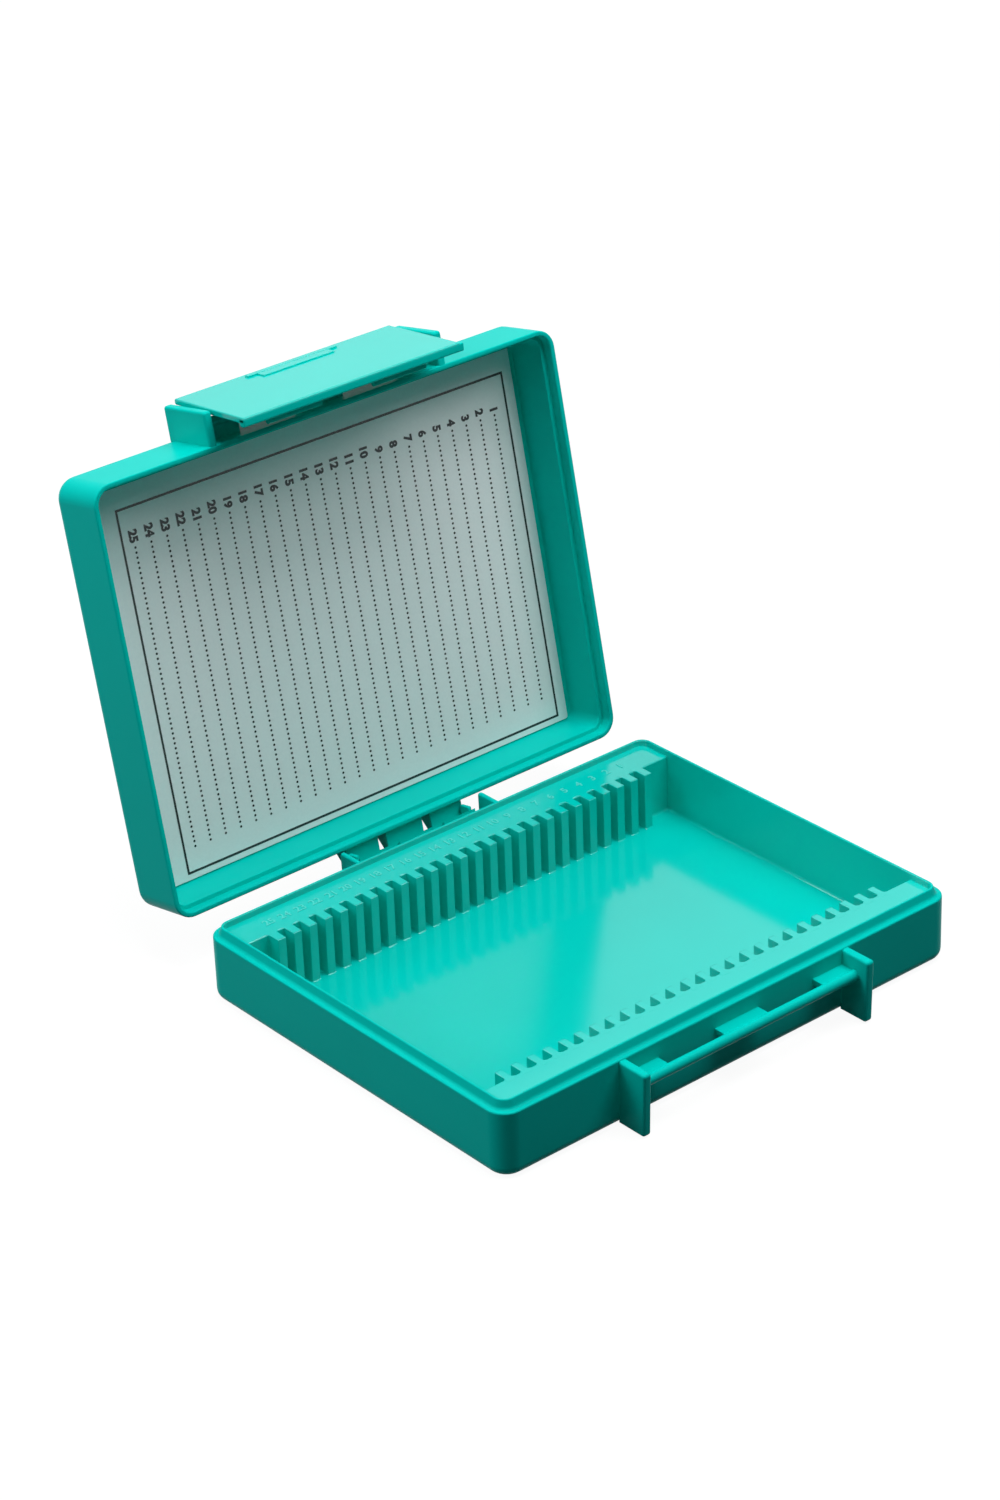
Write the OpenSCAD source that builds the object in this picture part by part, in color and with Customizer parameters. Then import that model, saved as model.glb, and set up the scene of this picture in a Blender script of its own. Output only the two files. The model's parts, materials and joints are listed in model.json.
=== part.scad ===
// Microscope slide box: a hinged ABS box for 25 slides, with a rocker latch and an index card.
// Millimetres. The base stands on z = 0, centred on the origin, with the catch towards -Y.
// The lid is drawn shut and then turned open on the hinge rod.

/* [Box] */
// Outer length of base and lid, along X
box_l = 126.5; // [116:0.5:160]
// Outer width of base and lid, along Y
box_w = 98; // [94:0.5:130]
// Height of the base's shoulder, where the lid's rim sits
base_h = 15.3; // [13.5:0.1:24]
// Height of the lid from its rim to its top
lid_h = 15.5; // [14.5:0.1:24]
// Radius of the upright outer corners
corner_r = 6; // [5:0.1:9]
// Radius of the base's lower edge and the lid's upper edge
edge_r = 2.5; // [1:0.1:4]
// Opening angle at which the lid stands
lid_open = 101.25; // [92:0.25:115]

/* [Walls] */
// Thickness of the base's walls, shoulder and lip together
base_wall = 2.5; // [2.2:0.1:3.2]
// Thickness of the base's floor
floor_t = 2.2; // [1.6:0.1:3]
// Thickness of the lid's walls
lid_wall = 2.2; // [1.8:0.1:3]
// Radius of the lid's upright inner corners
lid_inner_r = 2.5; // [2:0.1:2.6]
// Thickness of the lid's top
lid_top_t = 2.2; // [1.6:0.1:3]
// Thickness of the raised lip on the base
lip_t = 1; // [0.8:0.1:1.3]
// Height of the lip above the shoulder
lip_h = 2.65; // [1.5:0.05:3.5]
// Gap between the lip and the lid's rebate
lip_clear = 0.3; // [0.2:0.05:0.5]
// Gap between the shoulder and the lid's rim when shut
seam_gap = 0.3; // [0.2:0.05:0.5]

/* [Slide racks] */
// Number of slides that the box holds
slots = 25; // [5:1:25]
// Distance from slot to slot
slot_pitch = 4.2; // [3.6:0.05:4.2]
// Length of a slide
slide_l = 76; // [70:0.5:76]
// Play of a slide between the two ledges
slide_play = 1.4; // [0.6:0.1:2]
// Thickness of a rib at its root
rib_t = 1.8; // [1.2:0.1:2.4]
// Length of a rib, from the ledge to its tip
rib_reach = 3.4; // [2:0.1:5]
// Radius of a rib's upright tip edges
rib_tip_r = 0.4; // [0.2:0.05:0.5]
// How far the racks lie off the box's middle, along X
rack_dx = -0.6; // [-1:0.1:1]
// How far the racks lie off the box's middle, along Y
rack_dy = -0.5; // [-1:0.1:1]
// How far the ledges stand above the shoulder
ledge_rise = 0.8; // [0.2:0.1:1.2]
// Thickness of the ledges' skin over their hollow underside
ledge_skin = 2; // [1.4:0.1:2.4]

/* [Ears and rods] */
// How far an ear stands out from the wall, at the seam
ear_reach = 7.6; // [7.2:0.1:8]
// How much less a base ear stands out at its foot
ear_draft = 0.5; // [0:0.1:1.4]
// Distance from an ear's foot to the base's underside, or to the lid's top
ear_foot = 0.3; // [0.2:0.1:3]
// How far an ear keeps back from the seam
ear_inset = 0.1; // [0.1:0.05:0.5]
// Radius of an ear's corner at its foot
ear_r = 0.7; // [0.5:0.1:2]
// Radius of the moulded rods
rod_r = 1.2; // [1:0.05:1.4]
// Distance of a rod's axis from the wall
rod_reach = 3.9; // [3.7:0.1:4.3]
// Distance of a rod's axis from the seam
rod_drop = 4.4; // [4.1:0.1:5]
// Thickness of the webs that tie a rod to the wall
web_t = 1.6; // [1:0.1:2]
// Running gap between a rod and the hook on it
rod_clear = 0.05; // [0.02:0.01:0.1]

/* [Catch] */
// Thickness of a front ear
catch_ear_t = 2.1; // [1.5:0.1:3]
// Clear width between the two front ears
catch_gap = 60.8; // [56:0.2:66]
// Width of the middle web of a front rod
catch_web_w = 12.4; // [8:0.2:16]
// Width of each window in front of the wall
catch_window_w = 16.2; // [12:0.2:19]

/* [Hinge] */
// Thickness of a rear ear
hinge_ear_t = 1.3; // [1:0.1:2.5]
// Clear width between the two rear ears
hinge_gap = 38.4; // [36:0.2:48]
// Width of the lid's middle knuckle
mid_knuckle_w = 10.4; // [6:0.2:12]
// Width of each outer knuckle
end_knuckle_w = 9.2; // [6:0.2:9.6]
// Width of each web that carries the hinge rod
hinge_web_w = 1.4; // [1:0.1:2]
// Side gap between a knuckle and a web
knuckle_gap = 0.45; // [0.3:0.05:0.8]
// Radius of a knuckle
knuckle_r = 2.6; // [2.4:0.05:2.9]
// Height of the mouth that a rod is pressed through
mouth_h = 1.9; // [1.6:0.1:2]
// Height of a knuckle's root on the lid's wall
knuckle_root_h = 7.2; // [5:0.1:10]
// Height of a knuckle's straight back above the lid's rim
knuckle_back_h = 1.5; // [0:0.1:3]
// Thickness of the arm that carries a knuckle's ring, and of the heel under it
heel_t = 1.65; // [1.4:0.05:1.8]
// Thickness of the cheek that closes an outer knuckle
cheek_t = 1; // [0.8:0.1:1.6]
// How far a cheek hangs below the lid's rim
cheek_drop = 2.3; // [2.2:0.1:2.6]
// Gap between the knuckles' heels and the base's wall at full opening
stop_gap = 0.15; // [0.1:0.05:0.3]

/* [Latch] */
// Side gap between the latch and the ears
latch_side_gap = 0.4; // [0.3:0.1:1]
// How much the plate falls short of its pull bead, at the +X end
latch_short = 1; // [0:0.1:2]
// Thickness of the latch plate
latch_t = 1.1; // [0.9:0.1:1.4]
// Distance from the rod's axis to the plate's inner face
latch_stand = 2.6; // [2.5:0.05:2.8]
// Length of the plate from the rod to its thumb end
latch_thumb = 10.2; // [7:0.1:10.2]
// Length of the plate from the rod to the middle of its pull bead
latch_pull = 14.1; // [13.2:0.1:15]
// Radius of the bead along the pull end
bead_r = 0.9; // [0.7:0.05:1]
// Lean of the plate, with its pull end nearer to the wall
latch_lean = 4.3; // [3:0.1:5]
// Radius of the hook round the lid's rod
hook_r = 2.4; // [2.3:0.05:2.5]
// Side gap between a hook and its window
hook_side_gap = 0.8; // [0.4:0.1:1.2]
// Thickness of the jaw that goes under the base's rod
jaw_t = 1.3; // [1:0.1:1.6]
// How far the jaw reaches past the rod's axis
jaw_reach = 1.1; // [0.5:0.1:1.4]
// Gap between the jaw and the base's rod
jaw_clear = 0.3; // [0.2:0.05:0.4]
// Width of the thumb pad's upper step
pad_w = 24.8; // [18:0.2:30]
// Depth of each step, and how much shorter the lower one is at each end
pad_step = 2.7; // [1.5:0.1:3]
// Rise of each of the thumb pad's two steps
pad_rise = 0.35; // [0.2:0.05:0.5]

/* [Index card] */
// Gap between the card's ends and the lid's walls
card_end_gap = 1.3; // [1.2:0.1:6]
// Gap between the card's long edges and the lid's walls
card_side_gap = 0.5; // [0.5:0.1:5]
// Thickness of the card
card_t = 0.4; // [0.2:0.05:0.6]

/* [Hidden] */
$fn = 64;
slip = 0.01;
box_teal = [0, 0.72, 0.67];
card_grey = [0.86, 0.88, 0.88];

lip_inset = base_wall - lip_t;
rim_t = lip_inset - lip_clear;
rim_z = base_h + seam_gap;
lid_top_z = rim_z + lid_h;
tray_l = box_l - 2 * base_wall;
tray_w = box_w - 2 * base_wall;
ledge_z = base_h + ledge_rise;
ledge_face = (slide_l + slide_play) / 2;
hinge_y = box_w / 2 + rod_reach;
hinge_z = base_h - rod_drop;
latch_y = -box_w / 2 - rod_reach;
latch_z = rim_z + rod_drop;
latch_w = catch_gap - 2 * latch_side_gap;
window_mid = (catch_web_w + catch_window_w) / 2;
hook_w = catch_window_w - 2 * hook_side_gap;
card_l = box_l - 2 * (lid_wall + card_end_gap);
card_w = box_w - 2 * (lid_wall + card_side_gap);
hinge_web_x = mid_knuckle_w / 2 + knuckle_gap + hinge_web_w / 2;
end_knuckle_x = hinge_web_x + hinge_web_w / 2 + knuckle_gap + end_knuckle_w / 2;
rim_v = rod_drop + seam_gap;
arm_u = knuckle_r - heel_t;

// Flat outline of a rectangle with round corners
module rounded_rect(l, w, r) {
    square([l - 2 * r, w], center = true);
    square([l, w - 2 * r], center = true);
    for (x = [-1, 1], y = [-1, 1])
        translate([x * (l / 2 - r), y * (w / 2 - r)])
            circle(r);
}

// Upright block with round corners, from z = 0 to h
module rounded_block(l, w, h, r) {
    linear_extrude(h)
        rounded_rect(l, w, r);
}

// Flat half of an edge profile: a strip of the given width, rounded at its lower outer corner
module edge_profile(reach, h, e) {
    translate([0, e])
        square([reach, h - e]);
    square([reach - e, h]);
    translate([reach - e, e])
        circle(e);
}

// Whole cross-section of a block: both edges rounded below
module edge_section(span, h, e) {
    for (side = [0, 1])
        mirror([side, 0])
            edge_profile(span / 2, h, e);
}

// Block with round corners and a rounded lower edge: two straight runs and four turned corners
module shell_block(l, w, h, r, e) {
    translate([-(l / 2 - r), 0, 0])
        rotate([90, 0, 90])
            linear_extrude(l - 2 * r)
                edge_section(w, h, e);
    translate([0, w / 2 - r, 0])
        rotate([90, 0, 0])
            linear_extrude(w - 2 * r)
                edge_section(l, h, e);
    for (x = [-1, 1], y = [-1, 1])
        translate([x * (l / 2 - r), y * (w / 2 - r), 0])
            rotate_extrude()
                edge_profile(r, h, e);
}

// Extrudes a flat Y-Z outline along X, centred on x
module along_x(x, w) {
    translate([x - w / 2, 0, 0])
        rotate([90, 0, 90])
            linear_extrude(w)
                children();
}

// Outline of an ear in Y-Z, from its seam end at z = 0 down to its foot at z = -ear_h. Its outer
// edge leans in by the draft, and a round corner touches that edge and the foot.
module ear_outline(ear_h, draft) {
    edge_l = norm([draft, ear_h]);
    round_z = -ear_h + ear_r;
    round_y = (ear_r * edge_l - round_z * draft) / ear_h - ear_reach;
    touch = [round_y, round_z] - ear_r * [ear_h, draft] / edge_l;
    polygon([[slip, 0], [-ear_reach, 0], touch, [round_y, round_z], [round_y, -ear_h], [slip, -ear_h]]);
    translate([round_y, round_z])
        circle(ear_r);
}

// One pair of ears with a rod between them. The wall of height wall_h is the plane y = 0, and
// the ears stand towards -Y, below the seam at z = 0.
module ears_and_rod(wall_h, gap, ear_t, draft) {
    for (x = [-1, 1])
        along_x(x * (gap + ear_t) / 2, ear_t)
            translate([0, -ear_inset])
                ear_outline(wall_h - ear_inset - ear_foot, draft);
    translate([-gap / 2 - slip, -rod_reach, -rod_drop])
        rotate([0, 90, 0])
            cylinder(h = gap + 2 * slip, r = rod_r);
}

// A web of width w at x, from the wall to the rod's axis
module rod_web(x, w) {
    translate([x - w / 2, -rod_reach, -rod_drop - web_t / 2])
        cube([w, rod_reach + slip, web_t]);
}

// The front bracket of base and lid: ears, rod, and webs that leave two windows
module catch_bracket(wall_h, draft) {
    side_web_w = (catch_gap - catch_web_w) / 2 - catch_window_w;
    ears_and_rod(wall_h, catch_gap, catch_ear_t, draft);
    rod_web(0, catch_web_w);
    for (x = [-1, 1])
        rod_web(x * (catch_gap - side_web_w) / 2, side_web_w);
}

// The rear bracket of the base: ears, rod, and two narrow webs between the knuckles
module hinge_bracket() {
    ears_and_rod(base_h, hinge_gap, hinge_ear_t, ear_draft);
    for (x = [-1, 1])
        rod_web(x * hinge_web_x, hinge_web_w);
}

// The ribs of one ledge, with their tips towards -Y and a slot between each two
module rib_row() {
    for (i = [0:slots])
        translate([(i - slots / 2) * slot_pitch, 0, floor_t])
            linear_extrude(ledge_z - floor_t) {
                translate([-rib_t / 2, -rib_reach + rib_tip_r])
                    square([rib_t, rib_reach - rib_tip_r]);
                translate([-rib_t / 2 + rib_tip_r, -rib_reach])
                    square([rib_t - 2 * rib_tip_r, rib_tip_r]);
                for (x = [-1, 1])
                    translate([x * (rib_t / 2 - rib_tip_r), -rib_reach + rib_tip_r])
                        circle(rib_tip_r);
            }
}

// The hollow under the ledge whose face is at y = face, open at the bottom
module ledge_hollow(face) {
    hollow_w = tray_w / 2 - face - ledge_skin;
    translate([-tray_l / 2 + ledge_skin, face + ledge_skin, -slip])
        cube([tray_l - 2 * ledge_skin, hollow_w, ledge_z - ledge_skin]);
}

// Base: tub with a shoulder and lip, two ledges, catch bracket and hinge bracket
module base_tray() color(box_teal) {
    difference() {
        union() {
            shell_block(box_l, box_w, base_h, corner_r, edge_r);
            translate([0, 0, base_h - slip])
                rounded_block(
                    box_l - 2 * lip_inset,
                    box_w - 2 * lip_inset,
                    lip_h + slip,
                    corner_r - lip_inset
                );
        }
        translate([0, 0, ledge_z])
            rounded_block(tray_l, tray_w, lip_h, corner_r - base_wall);
        translate([-tray_l / 2, rack_dy - ledge_face, floor_t])
            cube([tray_l, 2 * ledge_face, base_h]);
        for (side = [0, 1])
            mirror([0, side, 0])
                ledge_hollow(ledge_face + (side == 0 ? rack_dy : -rack_dy));
    }
    translate([0, -box_w / 2, base_h])
        catch_bracket(base_h, ear_draft);
    translate([0, box_w / 2, base_h])
        mirror([0, 1, 0])
            hinge_bracket();
}

// Ribs of the rack on the catch side
module front_ribs() color(box_teal) translate([rack_dx, rack_dy - ledge_face, 0]) mirror([0, 1, 0]) rib_row();

// Ribs of the rack on the hinge side
module rear_ribs() color(box_teal) translate([rack_dx, rack_dy + ledge_face, 0]) rib_row();

// Turns what is drawn in the shut position about the hinge rod, by the lid's opening angle
module opened() {
    translate([0, hinge_y, hinge_z])
        rotate([-lid_open, 0, 0])
            translate([0, -hinge_y, -hinge_z])
                children();
}

// Outline of a hinge knuckle in Y-Z, about the rod's axis: a ring open towards the box, an arm from
// its back to a root on the lid's wall, and a heel that meets the base's wall at full opening
module knuckle_outline() {
    heel_v = function(u) -(rod_reach - stop_gap + u * cos(lid_open)) / sin(lid_open);
    difference() {
        union() {
            circle(knuckle_r);
            polygon([
                [arm_u, heel_v(arm_u)],
                [knuckle_r, heel_v(knuckle_r)],
                [knuckle_r, rim_v + knuckle_back_h],
                [-rod_reach - slip, rim_v + knuckle_root_h],
                [-rod_reach - slip, rim_v],
                [arm_u, rim_v]
            ]);
        }
        circle(rod_r + rod_clear);
        translate([-2 * knuckle_r, -mouth_h / 2])
            square([2 * knuckle_r, mouth_h]);
    }
}

// Outline of the cheek between an outer knuckle's ring, its arm and the lid's rim
module cheek_outline() {
    translate([-knuckle_r, rim_v - cheek_drop])
        square([knuckle_r + arm_u + slip, cheek_drop + slip]);
}

// Lid: shell with a rebate at its rim, latch bracket in front and knuckles behind
module lid() color(box_teal) opened() {
    rebate_h = lip_h - seam_gap + lip_clear;
    difference() {
        translate([0, 0, lid_top_z])
            mirror([0, 0, 1])
                shell_block(box_l, box_w, lid_h, corner_r, edge_r);
        translate([0, 0, rim_z - slip])
            rounded_block(box_l - 2 * lid_wall, box_w - 2 * lid_wall, lid_h - lid_top_t + slip, lid_inner_r);
        translate([0, 0, rim_z - slip])
            rounded_block(box_l - 2 * rim_t, box_w - 2 * rim_t, rebate_h + slip, corner_r - rim_t);
    }
    translate([0, -box_w / 2, rim_z])
        mirror([0, 0, 1])
            catch_bracket(lid_h, 0);
    translate([0, hinge_y, hinge_z]) {
        along_x(0, mid_knuckle_w)
            knuckle_outline();
        for (x = [-1, 1]) {
            along_x(x * end_knuckle_x, end_knuckle_w)
                knuckle_outline();
            along_x(x * (end_knuckle_x + (end_knuckle_w - cheek_t) / 2), cheek_t)
                cheek_outline();
        }
    }
}

// Outline of the latch plate in Y-Z, about the lid's rod: a flat leaf with a round thumb end
module latch_plate_outline() {
    translate([-latch_stand - latch_t, -latch_pull])
        square([latch_t, latch_thumb + latch_pull - latch_t / 2]);
    translate([-latch_stand - latch_t / 2, latch_thumb - latch_t / 2])
        circle(latch_t / 2);
}

// Outline of a hook: a ring round the lid's rod, open towards the wall, and a jaw under the
// base's rod
module latch_hook_outline() {
    base_rod_s = -(latch_z - hinge_z) * cos(latch_lean);
    base_rod_n = -(latch_z - hinge_z) * sin(latch_lean);
    jaw_top = base_rod_s - rod_r - jaw_clear;
    jaw_tip = base_rod_n + jaw_reach - jaw_t / 2;
    difference() {
        union() {
            circle(hook_r);
            translate([-latch_stand - slip, -hook_r])
                square([latch_stand + slip, 2 * hook_r]);
        }
        circle(rod_r + rod_clear);
        translate([0, -mouth_h / 2])
            square([2 * hook_r, mouth_h]);
    }
    translate([-latch_stand - slip, jaw_top - jaw_t])
        square([jaw_tip + latch_stand + slip, jaw_t]);
    translate([jaw_tip, jaw_top - jaw_t / 2])
        circle(jaw_t / 2);
}

// Latch: plate with a stepped thumb pad, its wide step the higher, a pull bead, two hooks and two jaws
module latch() color(box_teal) opened() translate([0, latch_y, latch_z]) rotate([latch_lean, 0, 0]) {
    pad_top = latch_thumb - latch_t / 2;
    along_x(-latch_short / 2, latch_w - latch_short)
        latch_plate_outline();
    along_x(0, latch_w)
        translate([-latch_stand - latch_t / 2, -latch_pull])
            circle(bead_r);
    for (x = [-1, 1])
        along_x(x * window_mid, hook_w)
            latch_hook_outline();
    for (step = [1, 2])
        along_x(0, pad_w - 2 * (step - 1) * pad_step)
            translate([-latch_stand - latch_t - (3 - step) * pad_rise, pad_top - step * pad_step])
                square([(3 - step) * pad_rise + slip, pad_step + (step - 1) * slip]);
}

// Index card: a flat sheet against the inside of the lid's top
module index_card() color(card_grey) opened() {
    translate([-card_l / 2, -card_w / 2, lid_top_z - lid_top_t - card_t])
        cube([card_l, card_w, card_t]);
}

base_tray();
front_ribs();
rear_ribs();
lid();
latch();
index_card();
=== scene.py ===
"""Microscope slide box: a teal moulded box with racks for 25 slides, a rocker latch and an index card."""

import json
import math

import bpy
import numpy as np
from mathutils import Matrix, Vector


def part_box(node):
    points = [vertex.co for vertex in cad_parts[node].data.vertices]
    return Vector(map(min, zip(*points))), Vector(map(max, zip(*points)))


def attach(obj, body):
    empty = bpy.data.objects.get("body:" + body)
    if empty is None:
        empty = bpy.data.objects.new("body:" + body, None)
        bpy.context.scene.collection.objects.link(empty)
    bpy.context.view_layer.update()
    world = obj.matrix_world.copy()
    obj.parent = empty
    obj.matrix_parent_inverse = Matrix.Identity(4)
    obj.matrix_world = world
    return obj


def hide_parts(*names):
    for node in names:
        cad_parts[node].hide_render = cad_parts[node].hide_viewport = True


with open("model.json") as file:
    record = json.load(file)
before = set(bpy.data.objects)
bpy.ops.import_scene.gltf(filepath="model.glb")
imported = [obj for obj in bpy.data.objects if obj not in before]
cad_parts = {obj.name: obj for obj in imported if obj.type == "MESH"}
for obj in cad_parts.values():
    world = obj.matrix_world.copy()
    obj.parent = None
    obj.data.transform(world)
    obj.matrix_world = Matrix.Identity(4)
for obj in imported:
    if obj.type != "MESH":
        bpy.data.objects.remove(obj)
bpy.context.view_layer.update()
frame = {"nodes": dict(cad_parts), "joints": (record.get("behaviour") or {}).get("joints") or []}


# Base tray
# An injection-moulded ABS tub with a stepped rim and two ledges that carry the racks. Ledges and floor are
# one bent sheet, hollow below, and the brackets of the catch and the hinge grow out of its walls.
# The mould rounds every edge. Its core is polished and its cavity is finely textured.

MM = 0.001
tray_low, tray_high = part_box("base_tray")
front_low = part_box("front_ribs")[0]
rear_low, rear_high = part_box("rear_ribs")

BOX_LENGTH = tray_high.x - tray_low.x
BOX_WIDTH = 98 * MM
CORNER_RADIUS = 4.6 * MM
EDGE_RADIUS = 2.5 * MM
WALL = 2.5 * MM
WALL_FOOT = 0.3 * MM
SHOULDER_Z = 15.3 * MM
SHOULDER_ROUND = 0.4 * MM
SHOULDER_RISE = 0.2 * MM
LIP_THICKNESS = 1 * MM
LIP_TAPER = 0.35 * MM
LIP_DROP = 0.4 * MM
LIP_ROUND = 0.3 * MM
LIP_FOOT = 0.9 * MM
LEDGE_SKIN = 2 * MM
LEDGE_ROUND = 0.4 * MM
FLOOR_FILLET = 0.7 * MM
CREASE_ANGLE = math.radians(40)

# How far a form reaches into the one that carries it
SUNK = 0.6 * MM

FLOOR_Z = rear_low.z
LEDGE_Z = rear_high.z
LIP_INSET = WALL - LIP_THICKNESS
INNER_LENGTH = BOX_LENGTH - 2 * WALL
INNER_WIDTH = BOX_WIDTH - 2 * WALL


def quarter(count=5):
    """Sines and cosines of a quarter turn, from 0 to 90 degrees."""
    turn = np.linspace(0, math.pi / 2, count)
    return np.sin(turn), np.cos(turn)


def swept_round_box(inset, radius, z, length, width, steps=9, capped=False):
    """A profile carried round a rectangle with round corners: each level is that rectangle drawn in by its
    inset, with its own corner radius, at its own height. The profile closes on itself, or has a cap at each
    end."""
    inset, radius, z = (np.asarray(value, float)[:, None] for value in (inset, radius, z))
    turn = np.linspace(0, math.pi / 2, steps)
    angle = (np.arange(4)[:, None] * math.pi / 2 + turn).ravel()[None, :]
    side_x = np.repeat([1, -1, -1, 1], steps)[None, :]
    side_y = np.repeat([1, 1, -1, -1], steps)[None, :]
    x = side_x * (length / 2 - inset - radius) + radius * np.cos(angle)
    y = side_y * (width / 2 - inset - radius) + radius * np.sin(angle)
    points = np.stack([x, y, np.broadcast_to(z, x.shape)], axis=-1)
    return points.reshape(-1, 3), loop_faces(len(z), x.shape[1], capped)


def loop_faces(levels, count, capped):
    """Faces between neighbouring levels of closed loops, with end caps or joined from last to first."""
    index = np.arange(levels * count).reshape(levels, count)
    lower = index[:-1] if capped else index
    upper = index[1:] if capped else np.roll(index, -1, axis=0)
    quads = np.stack([lower, np.roll(lower, -1, 1), np.roll(upper, -1, 1), upper], axis=-1).reshape(-1, 4)
    ends = [index[0, ::-1].tolist(), index[-1].tolist()] if capped else []
    return quads.tolist() + ends


def rounded(corners, radius, steps=6):
    """A closed outline with each corner turned into an arc of its own radius that touches both edges."""
    corners = np.asarray(corners, float)
    radius = np.broadcast_to(np.asarray(radius, float), len(corners))[:, None]
    before = np.roll(corners, 1, axis=0) - corners
    after = np.roll(corners, -1, axis=0) - corners
    before /= np.linalg.norm(before, axis=1, keepdims=True)
    after /= np.linalg.norm(after, axis=1, keepdims=True)
    half = np.arccos(np.sum(before * after, axis=1, keepdims=True)) / 2
    middle = (before + after) / np.linalg.norm(before + after, axis=1, keepdims=True)
    centre = corners + middle * radius / np.sin(half)
    start = corners + before * radius / np.tan(half) - centre
    end = corners + after * radius / np.tan(half) - centre
    t = np.linspace(0, 1, steps)[None, :, None]
    sweep = (math.pi - 2 * half)[:, None]
    arcs = (start[:, None] * np.sin((1 - t) * sweep) + end[:, None] * np.sin(t * sweep)) / np.sin(sweep)
    outline = (centre[:, None] + arcs).reshape(-1, 2)
    step = np.linalg.norm(outline - np.roll(outline, 1, axis=0), axis=1)
    return outline[step > 1e-9]


def drawn_in(outline, depth):
    """A counter-clockwise outline moved inwards: each point goes along the mean of its edges' normals."""
    edge = np.roll(outline, -1, axis=0) - outline
    edge /= np.linalg.norm(edge, axis=1, keepdims=True)
    normal = np.column_stack([-edge[:, 1], edge[:, 0]])
    before = np.roll(normal, 1, axis=0)
    spread = 1 + np.sum(normal * before, axis=1, keepdims=True)
    return outline + depth * (normal + before) / spread


def bar_along_x(outline, x_low, x_high, edge_round):
    """A Y-Z outline carried along X, drawn in on a quarter circle at each end so that the end edges are
    round."""
    sine, cosine = quarter(5 if edge_round else 1)
    depth = edge_round * np.concatenate([1 - sine, 1 - sine[::-1]])
    x = np.concatenate([x_low + edge_round * (1 - cosine), x_high - edge_round * (1 - cosine[::-1])])
    levels = np.stack([drawn_in(outline, d) for d in depth])
    across = np.broadcast_to(x[:, None], levels.shape[:2])
    points = np.stack([across, levels[..., 0], levels[..., 1]], axis=-1)
    return points.reshape(-1, 3), loop_faces(len(x), len(outline), True)


def joined(parts):
    """Several (points, faces) put together as one."""
    starts = np.cumsum([0] + [len(points) for points, _ in parts])
    faces = [[i + start for i in face] for (_, part), start in zip(parts, starts) for face in part]
    return np.vstack([points for points, _ in parts]), faces


def finished(name, points, faces, materials, body, slot, stands_for=()):
    """A piece in its place: smooth faces with sharp creases kept, on its body and for its CAD nodes."""
    mesh = bpy.data.meshes.new(name)
    mesh.from_pydata(points.tolist(), [], faces)
    for material in materials:
        mesh.materials.append(material)
    mesh.shade_smooth()
    mesh.set_sharp_from_angle(angle=CREASE_ANGLE)
    piece = bpy.data.objects.new(name, mesh)
    bpy.context.scene.collection.objects.link(piece)
    flat = piece.modifiers.new("flat_faces", "WEIGHTED_NORMAL")
    flat.keep_sharp = True
    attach(piece, body)
    if stands_for:
        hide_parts(*stands_for)
    return piece


def tray_walls():
    """The wall all round: foot fillet, outer face, shoulder, hollow fillet, tapered lip and inner face as
    one closed profile."""
    sine, cosine = quarter()
    shoulder_z, lip_z = SHOULDER_Z + SHOULDER_RISE, tray_high.z - LIP_DROP
    inset = np.concatenate(
        [
            EDGE_RADIUS * (1 - quarter(9)[0]),
            SHOULDER_ROUND * (1 - cosine),
            LIP_INSET - LIP_FOOT * (1 - sine),
            LIP_INSET + LIP_TAPER + LIP_ROUND * (1 - cosine),
            WALL - LIP_ROUND * (1 - sine),
            [WALL],
        ]
    )
    z = np.concatenate(
        [
            EDGE_RADIUS * (1 - quarter(9)[1]),
            shoulder_z - SHOULDER_ROUND * (1 - sine),
            shoulder_z + LIP_FOOT * (1 - cosine),
            lip_z - LIP_ROUND * (1 - sine),
            lip_z - LIP_ROUND * (1 - cosine),
            [WALL_FOOT],
        ]
    )
    return swept_round_box(inset, CORNER_RADIUS - inset, z, BOX_LENGTH, BOX_WIDTH)


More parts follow.
